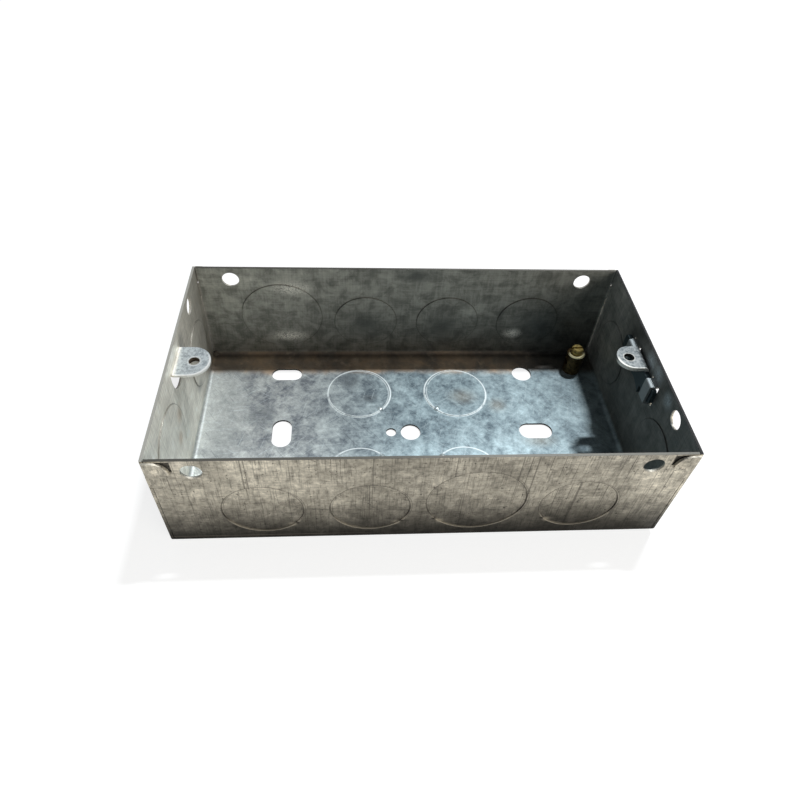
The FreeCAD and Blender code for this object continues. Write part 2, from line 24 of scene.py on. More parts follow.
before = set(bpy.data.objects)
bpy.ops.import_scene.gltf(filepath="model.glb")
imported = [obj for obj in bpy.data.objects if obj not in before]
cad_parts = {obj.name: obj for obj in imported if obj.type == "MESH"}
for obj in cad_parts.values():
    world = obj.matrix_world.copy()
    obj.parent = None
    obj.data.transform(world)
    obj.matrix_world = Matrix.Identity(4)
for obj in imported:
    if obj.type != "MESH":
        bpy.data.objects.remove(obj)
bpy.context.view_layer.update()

MM = 0.001
HALF_LENGTH = 66.0
HALF_WIDTH = 36.0
HEIGHT = 36.5

# Knockout centres and radii in millimetres, by the wall they are struck in.
BASE_RING = (15.8, 16.4, 10.2)
FRONT_RINGS = ((-40.65, 15.2, 10.2), (-13.55, 15.2, 10.2), (13.55, 17.5, 12.85), (40.65, 15.2, 10.2))
BACK_RINGS = ((-40.65, 17.5, 12.85), (-13.55, 15.2, 10.2), (13.55, 15.2, 10.2), (40.65, 15.2, 10.2))
LEFT_RINGS = ((-19.3, 17.5, 12.85), (20.4, 15.2, 10.2))
RIGHT_RINGS = ((-20.4, 15.2, 10.2), (20.4, 15.2, 10.2))
POST = (57.6, 27.1)

# The lugs in millimetres: the middles of their tapped holes and of their round ends, and their tops.
FIXED_BORE = (-60.3, 0.0)
FIXED_END = (-61.4, 0.0)
SLIDING_BORE = (60.3, 1.2)
SLIDING_END = (61.6, 1.2)
BORE_RADIUS = 1.45
LUG_TOP = 32.3

# Two long scratches on the front wall: one upright at an x, one level at a height where x is 0.
UPRIGHT_SCRATCH = -13.1
LEVEL_SCRATCH = 13.34


class Finish:
    """Builds one material: each call adds a node and returns its output."""

    def __init__(self, name):
        self.material = bpy.data.materials.new(name)
        self.material.use_nodes = True
        self.tree = self.material.node_tree
        self.tree.nodes.clear()
        self.out = self.tree.nodes.new("ShaderNodeOutputMaterial")
        coordinates = self.tree.nodes.new("ShaderNodeTexCoord")
        scale = self.node("ShaderNodeVectorMath", operation="SCALE")
        scale.inputs["Scale"].default_value = 1 / MM
        self.link(coordinates.outputs["Object"], scale.inputs[0])
        self.place = scale.outputs[0]
        split = self.node("ShaderNodeSeparateXYZ")
        self.link(self.place, split.inputs[0])
        self.x, self.y, self.z = split.outputs

    def node(self, kind, **settings):
        """Adds a node and sets its properties."""
        made = self.tree.nodes.new(kind)
        for name, value in settings.items():
            setattr(made, name, value)
        return made

    def link(self, source, socket):
        """Joins an output to an input, or sets the input to a plain value."""
        if isinstance(source, bpy.types.NodeSocket):
            self.tree.links.new(source, socket)
        else:
            socket.default_value = source

    def math(self, operation, *values, clamp=False):
        """Adds a math node."""
        made = self.node("ShaderNodeMath", operation=operation, use_clamp=clamp)
        for socket, value in zip(made.inputs, values):
            self.link(value, socket)
        return made.outputs[0]

    def step(self, value, low, high):
        """Rises smoothly from 0 at low to 1 at high, or falls where low is the larger."""
        made = self.node("ShaderNodeMapRange", interpolation_type="SMOOTHSTEP")
        self.link(value, made.inputs["Value"])
        made.inputs["From Min"].default_value = min(low, high)
        made.inputs["From Max"].default_value = max(low, high)
        made.inputs["To Min"].default_value = 0.0 if low < high else 1.0
        made.inputs["To Max"].default_value = 1.0 if low < high else 0.0
        return made.outputs["Result"]

    def noise(self, size, detail=4.0, roughness=0.55, shift=(0, 0, 0), warp=0.0, turn=0.0):
        """Adds noise with features of about one size in millimetres, or three along turned axes."""
        mapping = self.node("ShaderNodeMapping", vector_type="TEXTURE")
        self.link(self.place, mapping.inputs["Vector"])
        mapping.inputs["Location"].default_value = shift
        mapping.inputs["Rotation"].default_value = (0.0, 0.0, math.radians(turn))
        mapping.inputs["Scale"].default_value = size if isinstance(size, tuple) else (size,) * 3
        made = self.node("ShaderNodeTexNoise")
        self.link(mapping.outputs[0], made.inputs["Vector"])
        made.inputs["Scale"].default_value = 1.0
        made.inputs["Detail"].default_value = detail
        made.inputs["Roughness"].default_value = roughness
        made.inputs["Distortion"].default_value = warp
        return made.outputs["Fac"]

    def mix(self, share, first, second):
        """Mixes two colours by a share."""
        made = self.node("ShaderNodeMix", data_type="RGBA")
        self.link(share, made.inputs[0])
        for socket, colour in ((made.inputs[6], first), (made.inputs[7], second)):
            if isinstance(colour, bpy.types.NodeSocket):
                self.link(colour, socket)
            else:
                socket.default_value = (*colour, 1.0)
        return made.outputs[2]

    def grade(self, colour, factor):
        """Multiplies a colour by a plain number from a node."""
        made = self.node("ShaderNodeVectorMath", operation="SCALE")
        self.link(colour, made.inputs[0])
        self.link(factor, made.inputs["Scale"])
        return made.outputs[0]

    def away(self, across, up, centre, stretch=1.0):
        """Gives the distance from a point on a wall, with the level part divided by a stretch."""
        level = self.math("MULTIPLY", self.math("SUBTRACT", across, centre[0]), 1.0 / stretch)
        upright = self.math("SUBTRACT", up, centre[1])
        square = self.math("MULTIPLY_ADD", upright, upright, self.math("MULTIPLY", level, level))
        return self.math("SQRT", square)

    def spots(self, across, up, places):
        """Is 1 in the middle of each (across, up, radius, stretch) spot and fades to its edge."""
        return self.largest([self.step(self.away(across, up, (u, v), stretch), radius, 0.0)
                             for u, v, radius, stretch in places])

    def rings(self, across, up, circles, width):
        """Is 1 on each (across, up, radius) circle and falls to 0 at a width beside it."""
        lines = []
        for u, v, radius in circles:
            off = self.math("SUBTRACT", self.away(across, up, (u, v)), radius)
            lines.append(self.step(self.math("ABSOLUTE", off), width, 0.0))
        return self.largest(lines)

    def both(self, *masks):
        """Keeps what every mask covers."""
        kept = masks[0]
        for mask in masks[1:]:
            kept = self.math("MULTIPLY", kept, mask)
        return kept

    def largest(self, values):
        """Keeps the largest of several masks."""
        kept = values[0]
        for value in values[1:]:
            kept = self.math("MAXIMUM", kept, value)
        return kept

    def bump(self, height, depth_mm):
        """Turns a height from 0 to 1 into a bump of a depth in millimetres."""
        made = self.node("ShaderNodeBump")
        made.inputs["Strength"].default_value = 1.0
        made.inputs["Distance"].default_value = depth_mm * MM
        self.link(height, made.inputs["Height"])
        return made.outputs[0]

    def surface(self, colour, metallic, roughness, normal):
        """Closes the material with one metal surface."""
        shader = self.node("ShaderNodeBsdfPrincipled")
        self.link(colour, shader.inputs["Base Color"])
        self.link(metallic, shader.inputs["Metallic"])
        self.link(roughness, shader.inputs["Roughness"])
        self.link(normal, shader.inputs["Normal"])
        self.link(shader.outputs[0], self.out.inputs["Surface"])
        return self.material


def floor_look(f, grain):
    """Colours the inside of the base: blue-grey zinc with pale bloom, a painted reflection and painted
    shade, scratches, and a painted highlight on the knockouts' bare edges.
    """
    clouds = f.noise(11.0, 5.0, 0.6, warp=0.3)
    mottle = f.noise(3.4, 5.0, 0.62, shift=(31, 7, 3), warp=0.35)
    fine = f.noise(1.1, 4.0, 0.65, shift=(9, 77, 3))
    # Painted reflection of the lamp: the base is made paler to the right, at the left fold and toward
    # the front.
    painted_sheen = f.largest([
        f.math("MULTIPLY", f.step(f.x, 10.0, 34.0), 0.7),
        f.math("MULTIPLY", f.step(f.x, -55.0, -64.0), 1.6),
        f.math("MULTIPLY", f.step(f.y, 2.0, -18.0), 0.7),
    ])
    share = f.math("MULTIPLY_ADD", painted_sheen, 0.24, -1.56)
    for texture, weight in ((clouds, 1.2), (mottle, 1.8), (fine, 0.8)):
        share = f.math("MULTIPLY_ADD", texture, weight, share)
    share = f.math("ADD", share, 0.0, clamp=True)
    dark = f.mix(f.step(f.x, -45.0, 8.0), (0.165, 0.18, 0.20), (0.125, 0.175, 0.205))
    pale = f.mix(f.step(f.x, -45.0, 8.0), (0.68, 0.71, 0.68), (0.60, 0.75, 0.79))
    colour = f.mix(share, dark, pale)
    even = f.both(f.step(f.x, -46.0, -58.0), 0.55)
    colour = f.mix(even, colour, f.mix(fine, (0.33, 0.355, 0.35), (0.62, 0.65, 0.63)))
    marks = f.spots(f.x, f.y, ((29.1, 10.8, 4.5, 1.0), (40.4, -3.7, 4.0, 2.0), (18.0, 14.4, 5.0, 1.4)))
    colour = f.mix(f.math("MULTIPLY", marks, 0.55), colour, (0.33, 0.31, 0.26))
    blot = f.spots(f.x, f.y, ((-18.9, 21.8, 5.0, 1.0), (-12.5, 14.0, 3.0, 1.4), (-46.5, 7.4, 6.0, 1.0)))
    colour = f.mix(f.both(blot, f.step(mottle, 0.35, 0.6)), colour, (0.10, 0.12, 0.135))
    scratches = []
    for number, (turn, length) in enumerate(((38, 11), (-33, 9), (74, 8), (5, 13))):
        line = f.noise((length, 0.30, 1.0), 2.0, 0.5, shift=(number * 19, number * 7, 0), turn=turn)
        scratches.append(f.step(line, 0.62, 0.76))
    colour = f.mix(f.math("MULTIPLY", f.largest(scratches), 0.32), colour, (0.78, 0.88, 0.90))
    nick = f.noise((8.0, 0.36, 1.0), 2.0, 0.5, shift=(3, 88, 0), turn=-52)
    colour = f.mix(f.math("MULTIPLY", f.step(nick, 0.62, 0.72), 0.35), colour, (0.08, 0.10, 0.12))
    colour = f.grade(colour, f.math("MULTIPLY_ADD", grain, 0.5, 0.75))
    # A browner strip with a wavy edge along the rear, dimmer at its left and far right.
    edge = f.math("MULTIPLY_ADD", clouds, 5.0, f.y)
    rear_brown = f.mix(f.step(clouds, 0.35, 0.72), (0.24, 0.19, 0.15), (0.60, 0.42, 0.27))
    rear_brown = f.mix(f.both(f.step(mottle, 0.55, 0.75), 0.5), rear_brown, (0.80, 0.60, 0.42))
    rear_brown = f.grade(rear_brown, f.math("MULTIPLY_ADD", f.step(f.x, -30.0, 20.0), 0.5, 0.9))
    rear_brown = f.grade(rear_brown, f.math("MULTIPLY_ADD", f.step(f.x, 50.0, 42.0), 0.8, 0.2))
    colour = f.mix(f.math("MULTIPLY", f.step(edge, 26.5, 30.0), 0.85), colour, rear_brown)
    # Painted shade darkens the base toward the right wall, whose shadow falls there, and in the crease
    # along the rear wall. The base is also darker toward the left, and lighter toward the front as a
    # painted reflection.
    colour = f.grade(colour, f.math("MULTIPLY_ADD", f.step(f.x, 58.5, 36.0), 0.28, 0.72))
    colour = f.grade(colour, f.math("MULTIPLY_ADD", f.step(f.x, -18.0, -45.0), 0.28, 0.86))
    colour = f.grade(colour, f.math("MULTIPLY_ADD", f.step(f.y, -1.0, -12.0), 0.14, 1.0))
    colour = f.grade(colour, f.math("MULTIPLY_ADD", f.step(f.x, 60.5, 58.0), 0.15, 0.85))
    colour = f.grade(colour, f.math("MULTIPLY_ADD", f.step(f.y, 31.0, 34.2), -0.62, 1.0))
    # The pale line on each knockout edge is a painted highlight of the bare cut edge, faded in places.
    across, along, radius = BASE_RING
    mirrored = (f.math("ABSOLUTE", f.x), f.math("ABSOLUTE", f.y))
    inner = f.rings(*mirrored, ((across + 0.45, along - 0.30, radius - 0.25),), 0.28)
    pale_sheen = f.largest([f.rings(*mirrored, (BASE_RING,), 0.42), f.both(inner, 0.55)])
    worn = f.step(f.noise(3.0, 3.0, 0.6, shift=(8, 2, 1)), 0.26, 0.46)
    colour = f.mix(f.both(pale_sheen, worn), colour, (0.90, 0.96, 0.96))
    # Painted shade: the walls of the holes in the base are dark.
    cut = f.both(f.step(f.z, 0.05, 0.09), f.step(f.z, 0.66, 0.62), f.step(mirrored[0], 62.0, 61.0),
                 f.step(mirrored[1], 32.0, 31.0))
    return f.mix(cut, colour, (0.05, 0.05, 0.045))


def brushed(f, tones):
    """Colours a wall inside: dull zinc with a fine weave of upright and level brush lines."""
    cloud = f.noise(5.5, 6.0, 0.68, shift=(90, 13, 40), warp=0.5)
    upright = f.noise((0.5, 0.5, 7.0), 3.0, 0.6, shift=(1, 6, 9))
    level = f.noise((6.0, 6.0, 0.45), 3.0, 0.6, shift=(8, 1, 3))
    weave = f.math("ADD", f.math("MULTIPLY", upright, 0.5), f.math("MULTIPLY", level, 0.5))
    colour = f.mix(f.step(cloud, 0.32, 0.68), *tones)
    return f.grade(colour, f.math("MULTIPLY_ADD", weave, 1.3, 0.35))


def outer_look(f, grain):
    """Colours the outside: warm grey with a fine weave, scratches and specks, and painted shade
    darkening it toward the foot.
    """
    patches = f.noise(9.0, 5.0, 0.62, shift=(3, 50, 9), warp=0.4)
    smudges = f.noise(2.2, 5.0, 0.7, shift=(13, 5, 19), warp=0.4)
    colour = f.mix(f.step(patches, 0.32, 0.68), (0.32, 0.30, 0.255), (0.50, 0.47, 0.405))
    colour = f.grade(colour, f.math("MULTIPLY_ADD", f.step(f.x, -2.0, -40.0), 0.28, 0.82))
    colour = f.grade(colour, f.math("MULTIPLY_ADD", smudges, 2.3, -0.12))
    upright = f.noise((0.34, 0.34, 5.0), 3.0, 0.6, shift=(7, 7, 7))
    level = f.noise((4.5, 4.5, 0.30), 3.0, 0.6, shift=(2, 9, 4))
    weave = f.math("ADD", f.step(upright, 0.48, 0.72), f.step(level, 0.48, 0.72))
    colour = f.grade(colour, f.math("MULTIPLY_ADD", weave, -0.58, 1.42))
    long_lines = f.noise((0.55, 0.55, 60.0), 1.0, 0.5, shift=(41, 3, 9))
    short_lines = f.noise((5.0, 5.0, 0.28), 2.0, 0.5, shift=(12, 19, 44))
    scratch = f.largest([f.step(long_lines, 0.66, 0.72), f.step(short_lines, 0.67, 0.74)])
    on_front = f.step(f.y, -35.5, -35.9)
    down = f.both(f.step(f.math("ABSOLUTE", f.math("SUBTRACT", f.x, UPRIGHT_SCRATCH)), 0.22, 0.05),
                  f.step(f.z, 11.0, 20.0), on_front)
    slanted = f.math("SUBTRACT", f.math("MULTIPLY_ADD", f.x, 0.066, f.z), LEVEL_SCRATCH)
    over = f.both(f.step(f.math("ABSOLUTE", slanted), 0.20, 0.05),
                  f.step(f.x, -33.0, -24.0), f.step(f.x, 1.0, -6.0), on_front)
    scratch = f.largest([scratch, down, over])
    colour = f.mix(f.math("MULTIPLY", scratch, 0.55), colour, (0.07, 0.062, 0.055))
    specks = f.step(f.noise(0.8, 2.0, 0.5, shift=(17, 3, 77)), 0.66, 0.74)
    colour = f.mix(f.math("MULTIPLY", specks, 0.8), colour, (0.04, 0.035, 0.03))
    # Painted shade: darker toward the foot, with a wavy edge.
    painted_foot_shade = f.step(f.math("MULTIPLY_ADD", patches, 5.0, f.z), 3.0, 26.5)
    colour = f.grade(colour, f.math("MULTIPLY_ADD", painted_foot_shade, 0.95, 0.05))
    colour = f.grade(colour, f.math("MULTIPLY_ADD", f.step(f.x, 46.0, 62.0), 0.40, 1.0))
    return f.grade(colour, f.math("MULTIPLY_ADD", grain, 0.31, 0.74)), scratch


def left_wall(f):
    """Colours the left wall inside: painted light makes it pale and painted shade dims it to the rear,
    with two patches of painted shade, a brown smudge and painted glints near the rim.
    """
    # Painted light: this wall's sheet is made much paler than the others, and painted shade dims it to
    # the rear.
    colour = brushed(f, ((0.80, 0.77, 0.69), (1.0, 0.975, 0.885)))
    colour = f.grade(colour, f.math("MULTIPLY_ADD", f.step(f.y, 34.0, 4.0), 0.58, 0.42))
    # Painted shade in two patches, one just behind the lug.
    shade = f.spots(f.y, f.z, ((7.6, 32.6, 4.2, 1.0), (13.7, 7.9, 4.0, 1.0)))
    colour = f.mix(f.math("MULTIPLY", shade, 0.5), colour, (0.20, 0.21, 0.21))
    brown = f.spots(f.y, f.z, ((-8.4, 20.3, 4.0, 1.0), (-12.5, 15.0, 3.0, 1.0)))
    colour = f.mix(f.math("MULTIPLY", brown, 0.5), colour, (0.55, 0.40, 0.26))
    # Painted glints near the rim.
    glint = f.spots(f.y, f.z, ((-1.3, 35.6, 2.6, 1.3), (-8.0, 34.9, 1.6, 1.2)))
    return f.mix(f.math("MULTIPLY", glint, 0.8), colour, (0.97, 0.96, 0.90))


def back_wall(f, grain):
    """Colours the rear wall inside: dull, with painted shade toward its foot and right end, dark
    smudges in its knockouts and pale patches of painted reflection.
    """
    colour = brushed(f, ((0.20, 0.205, 0.185), (0.43, 0.435, 0.395)))
    # Painted shade: darker toward the right end and toward the foot.
    colour = f.grade(colour, f.math("MULTIPLY_ADD", f.step(f.x, 40.0, -60.0), 0.36, 0.84))
    colour = f.grade(colour, f.math("MULTIPLY_ADD", f.step(f.z, 2.0, 32.0), 0.42, 0.58))
    clear = f.spots(f.x, f.z, ((21.5, 18.0, 9.0, 1.0),))
    colour = f.grade(colour, f.math("MULTIPLY_ADD", clear, 0.45, 1.0))
    smudge = f.spots(f.x, f.z, ((-13.5, 14.0, 9.0, 1.0), (12.0, 13.0, 9.5, 1.0), (44.0, 14.0, 9.0, 1.0),
                                (2.0, 34.0, 5.0, 2.0)))
    colour = f.mix(f.math("MULTIPLY", smudge, 0.62), colour, (0.10, 0.11, 0.105))
    # Pale patches in the knockouts are painted reflections.
    pale_sheen = f.spots(f.x, f.z, ((-38.9, 9.1, 3.2, 2.6), (36.6, 10.2, 3.0, 1.5), (-36.9, 29.0, 4.0, 2.4)))
    return f.mix(f.both(pale_sheen, f.step(grain, 0.3, 0.6)), colour, (0.88, 0.87, 0.80))


def right_wall(f, grain):
    """Colours the right wall inside: painted shade makes it dark, painted light lifts it toward the
    rear, and a painted blue sheen lies beside the sliding lug.
    """
    # Painted shade: this wall's sheet is made much darker than the others, and painted light lifts it
    # toward the rear.
    colour = brushed(f, ((0.155, 0.165, 0.155), (0.26, 0.265, 0.25)))
    colour = f.grade(colour, f.math("MULTIPLY_ADD", f.step(f.y, 8.0, 24.0), 1.0, 0.95))
    # A painted sheen beside the sliding lug.
    sheen = f.spots(f.y, f.z, ((-2.0, 33.6, 4.5, 1.0), (-7.4, 33.8, 4.5, 1.0), (-16.0, 33.0, 3.5, 1.0)))
    return f.mix(f.both(sheen, f.step(grain, 0.20, 0.60), 0.8), colour, (0.62, 0.70, 0.74))


def lug_and_loops(f):
    """Colours the fixed lug, with painted highlights on its edge and fold and a dark bore, and the
    loops at the right.
    """
    flecks = f.noise(0.9, 4.0, 0.7, shift=(2, 3, 4))
    ear = f.mix(f.step(flecks, 0.36, 0.60), (0.33, 0.37, 0.39), (0.64, 0.69, 0.70))
    # Painted highlights along the lug's front edge, its side and its fold at the wall.
    rim = f.both(f.step(f.away(f.x, f.y, FIXED_END), 4.7, 5.1), f.step(f.x, -61.9, -61.2),
                 f.step(f.y, 4.5, 0.0))
    side = f.both(f.step(f.y, -4.8, -5.2), f.step(f.x, -61.0, -61.8))
    fold = f.math("MULTIPLY", f.step(f.x, -63.9, -64.6), 0.35)
    ear = f.mix(f.largest([rim, side, fold]), ear, (0.97, 0.98, 0.96))
    off = f.away(f.x, f.y, FIXED_BORE)
    lip = f.both(f.step(off, 2.1, 1.75), f.step(f.x, -10.0, -20.0), 0.6)
    ear = f.mix(lip, ear, (0.90, 0.92, 0.90))
    bore = f.both(f.step(off, 1.66, 1.50), f.step(f.z, LUG_TOP + 0.04, LUG_TOP - 0.08))
    ear = f.mix(bore, ear, (0.10, 0.075, 0.055))
    return f.mix(f.step(f.x, -10.0, 10.0), ear, (0.38, 0.42, 0.43))


def knockout_edges(f, colour, walls, at_front):
    """Paints shade into each knockout's edge groove, and on the front a second line, a painted
    highlight along the foot of each edge, the ties and pads.
    """
    painted_groove_lines = f.largest([f.both(f.rings(along, f.z, circles, 0.30), wall)
                            for along, circles, wall in walls])
    twice = [(x + 0.55, z + 0.1, radius) for x, z, radius in FRONT_RINGS]
    double = f.both(f.rings(f.x, f.z, twice, 0.20), at_front, 0.6)
    painted_highlight_low = f.both(f.step(f.z, 13.0, 8.5), at_front)
    ties = []
    pads = []
    for x, z, radius in FRONT_RINGS:
        side = 1.0 if x < 0 else -1.0
        for kept, degrees, off, size in ((ties, -38.0, 0.3, 0.8), (pads, -47.0, -0.3, 1.3)):
            angle = math.radians(degrees)
            reach = radius + off
            kept.append((x + side * math.cos(angle) * reach, z + math.sin(angle) * reach, size, 1.3))
    # The lines are painted shade in the grooves, except low on the front's knockouts, where they are a
    # painted highlight.
    line = f.mix(painted_highlight_low, (0.04, 0.035, 0.03), (0.62, 0.57, 0.48))
    strength = f.math("MULTIPLY_ADD", at_front, 0.27, 0.48)
    colour = f.mix(f.both(f.largest([painted_groove_lines, double]), strength), colour, line)
    colour = f.mix(f.both(f.spots(f.x, f.z, pads), at_front, 0.7), colour, (0.50, 0.46, 0.38))
    return f.mix(f.both(f.spots(f.x, f.z, ties), at_front), colour, (0.03, 0.025, 0.02))


def tab_pockets(f, colour):
    """Paints shade into the recess beside each corner tab."""
    across = f.math("ABSOLUTE", f.y)
    along = f.math("ABSOLUTE", f.x)
    pocket = f.both(f.step(across, 35.4, 35.5), f.step(across, 35.9, 35.8), f.step(along, 59.3, 59.5),
                    f.step(f.z, 32.0, 32.4))
    return f.mix(f.math("MULTIPLY", pocket, 0.85), colour, (0.03, 0.03, 0.03))


def cut_rim(f, colour):
    """Colours the cut rim: painted light makes it pale on the left wall, painted shade makes it darkest
    on the right wall, and it is dull elsewhere.
    """
    wander = f.math("MULTIPLY_ADD", f.noise(14.0, 2.0, 0.5, shift=(60, 0, 0)), 30.0, f.x)
    cut = f.mix(f.step(wander, 2.0, 32.0), (0.13, 0.125, 0.11), (0.19, 0.185, 0.165))
    # Painted light makes the left wall's rim pale, and painted shade makes the right wall's near black.
    cut = f.mix(f.step(f.x, -65.0, -65.3), cut, (0.55, 0.54, 0.49))
    cut = f.mix(f.step(f.x, 65.0, 65.3), cut, (0.035, 0.035, 0.035))
    return f.mix(f.step(f.z, HEIGHT - 0.12, HEIGHT - 0.05), colour, cut)


def galvanised_sheet():
    """Makes the weathered sheet: blue zinc in the base, dull brushed walls with painted light and
    shade, brown outside.
    """
    f = Finish("galvanised_sheet")
    outside = f.largest([f.math("GREATER_THAN", f.math("ABSOLUTE", f.x), HALF_LENGTH - 0.35),
                         f.math("GREATER_THAN", f.math("ABSOLUTE", f.y), HALF_WIDTH - 0.45),
                         f.math("LESS_THAN", f.z, 0.45)])
    in_base = f.step(f.z, 2.0, 1.1)
    at_left = f.step(f.x, -64.4, -65.0)
    at_right = f.step(f.x, 64.4, 65.0)
    at_back = f.step(f.y, 34.4, 35.0)
    at_front = f.step(f.y, -35.5, -35.9)
    grain = f.noise(0.42, 3.0, 0.6, shift=(5, 11, 0))

    front = brushed(f, ((0.22, 0.225, 0.205), (0.40, 0.405, 0.37)))
    inside = f.mix(at_back, lug_and_loops(f), back_wall(f, grain))
    inside = f.mix(f.step(f.y, -34.4, -35.0), inside, front)
    inside = f.mix(at_left, inside, left_wall(f))
    inside = f.mix(at_right, inside, right_wall(f, grain))
    inside = f.mix(in_base, inside, floor_look(f, grain))
    outer, scratch = outer_look(f, grain)
    colour = f.mix(outside, inside, outer)

    walls = ((f.x, FRONT_RINGS, at_front), (f.x, BACK_RINGS, at_back),
             (f.y, LEFT_RINGS, at_left), (f.y, RIGHT_RINGS, at_right))
    colour = tab_pockets(f, knockout_edges(f, colour, walls, at_front))

    # A dull line runs along the front's foot at the left.
    hem = f.both(f.step(f.math("ABSOLUTE", f.math("SUBTRACT", f.z, 2.9)), 0.22, 0.08), at_front,
                 f.step(f.x, -8.0, -30.0))
    colour = f.mix(f.math("MULTIPLY", hem, 0.5), colour, (0.22, 0.19, 0.16))
    colour = cut_rim(f, colour)

    height = f.math("MULTIPLY_ADD", scratch, -0.7, grain)
    roughness = f.math("MULTIPLY_ADD", grain, 0.16, 0.46)
    return f.surface(colour, 0.75, roughness, f.bump(height, 0.02))


def zinc_plate():
    """Makes the sliding lug's flecked zinc ear with a painted highlight on its edge, and its dark blue
    plate.
    """
    f = Finish("zinc_plate")
    bloom = f.noise(1.0, 5.0, 0.68, warp=0.3)
    colour = f.mix(f.step(bloom, 0.34, 0.64), (0.15, 0.175, 0.185), (0.44, 0.465, 0.465))
    # Painted highlight along the ear's edge and side.
    rim = f.both(f.step(f.away(f.x, f.y, SLIDING_END), 3.9, 4.4), f.step(f.x, 62.2, 61.4),
                 f.step(f.y, 2.5, -0.5))
    side = f.both(f.step(f.y, -2.8, -3.2), f.step(f.x, 61.2, 61.9))
    colour = f.mix(f.largest([rim, side]), colour, (0.97, 0.96, 0.90))
    face = f.step(f.z, 31.0, 30.6)
    colour = f.mix(face, colour, (0.075, 0.105, 0.115))
    off = f.away(f.x, f.y, SLIDING_BORE)
    colour = f.mix(f.both(f.step(off, 1.9, 1.6), 0.5), colour, (0.85, 0.83, 0.76))
    bore = f.both(f.step(off, 1.62, 1.48), f.step(f.z, LUG_TOP + 0.04, LUG_TOP - 0.08))
    colour = f.mix(bore, colour, (0.03, 0.03, 0.03))
    return f.surface(colour, 0.8, f.math("MULTIPLY_ADD", bloom, 0.2, 0.40), f.bump(bloom, 0.02))


def turned_brass(name, dark, bright, lip):
    """Makes turned brass: fine rings, tarnish between them, and a painted highlight on the front lip
    above a height.
    """
    f = Finish(name)
    turns = f.noise((2.5, 2.5, 0.16), 3.0, 0.6)
    tarnish = f.noise(1.3, 4.0, 0.6, shift=(4, 4, 4))
    colour = f.mix(f.step(tarnish, 0.3, 0.7), dark, bright)
    # Painted highlight on the front of the top edge.
    off = f.away(f.x, f.y, POST)
    edge = f.both(f.step(f.z, lip, lip + 0.15), f.step(f.y, POST[1] + 0.4, POST[1] - 1.6),
                  f.step(off, 2.0, 2.3))
    colour = f.mix(edge, colour, (0.96, 0.88, 0.55))
    return f.surface(colour, 0.75, f.math("MULTIPLY_ADD", turns, 0.15, 0.26), f.bump(turns, 0.015))


def corner_lump_look():
    """Makes the dull brown of the lumps that fill the corners."""
    f = Finish("corner_lumps")
    speckle = f.noise(0.5, 3.0, 0.6)
    colour = f.mix(speckle, (0.035, 0.03, 0.025), (0.12, 0.10, 0.08))
    return f.surface(colour, 0.0, 0.9, f.bump(speckle, 0.1))


def pale_floor():
    """Makes the floor: white to the camera, a little less to reflections, and taking the shadow."""
    f = Finish("pale_floor")
    path = f.node("ShaderNodeLightPath")
    seen = path.outputs["Is Camera Ray"]
    mirrored = f.largest([path.outputs["Is Glossy Ray"], path.outputs["Is Transmission Ray"]])
    diffuse = f.node("ShaderNodeBsdfDiffuse")
    f.link(f.mix(seen, (0.78, 0.76, 0.72), (0.36, 0.36, 0.36)), diffuse.inputs["Color"])
    glow = f.node("ShaderNodeEmission")
    glow.inputs["Color"].default_value = (1.0, 1.0, 1.0, 1.0)
    strength = f.math("MULTIPLY_ADD", seen, 0.78, f.math("MULTIPLY", mirrored, 0.10))
    f.link(strength, glow.inputs["Strength"])
    both = f.node("ShaderNodeAddShader")
    f.link(diffuse.outputs[0], both.inputs[0])
    f.link(glow.outputs[0], both.inputs[1])
    f.link(both.outputs[0], f.out.inputs["Surface"])
    return f.material


def add_grid(name, faces_of, material, body, grids):
    """Joins closed sheets of numbered points into one piece that rides on a body."""
    mesh = bpy.data.meshes.new(name)
    points = []
    faces = []
    for grid in grids:
        start = len(points)
        points.extend((np.reshape(grid, (-1, 3)) * MM).tolist())
        faces.extend([[start + i for i in face] for face in faces_of(*np.shape(grid)[:2])])
    mesh.from_pydata(points, [], faces)
    mesh.polygons.foreach_set("use_smooth", [True] * len(mesh.polygons))
    mesh.materials.append(material)
    piece = bpy.data.objects.new(name, mesh)
    bpy.context.scene.collection.objects.link(piece)
    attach(piece, body)
    return piece


def ball_faces(rows, columns):
    """Numbers the faces of a ball: rows of points round an axis, closed by a face at each end."""
    faces = [list(range(columns))[::-1], list(range((rows - 1) * columns, rows * columns))]
    for row in range(rows - 1):
        for column in range(columns):
            beside = (column + 1) % columns
            faces.append([row * columns + column, row * columns + beside,
                          (row + 1) * columns + beside, (row + 1) * columns + column])
    return faces


def ball(centre, radii, lumps=0.0, start=-90.0, phase=0.0):
    """Computes an ellipsoid from a start angle up to its top.

    A point at angle a round the axis and b above the level lies at the centre plus the radii times
    (cos b cos a, cos b sin a, sin b), all times 1 + lumps sin(3 a + phase) cos(4 b + phase).
    """
    a = np.linspace(0.0, 2.0 * np.pi, 24, endpoint=False)[None, :]
    b = np.radians(np.linspace(start + 4.0, 86.0, 14))[:, None]
    swell = 1.0 + lumps * np.sin(3.0 * a + phase) * np.cos(4.0 * b + phase)
    x = centre[0] + radii[0] * np.cos(b) * np.cos(a) * swell
    y = centre[1] + radii[1] * np.cos(b) * np.sin(a) * swell
    z = centre[2] + radii[2] * np.sin(b) * swell
    return np.stack([x, y, z + 0.0 * a], axis=-1)


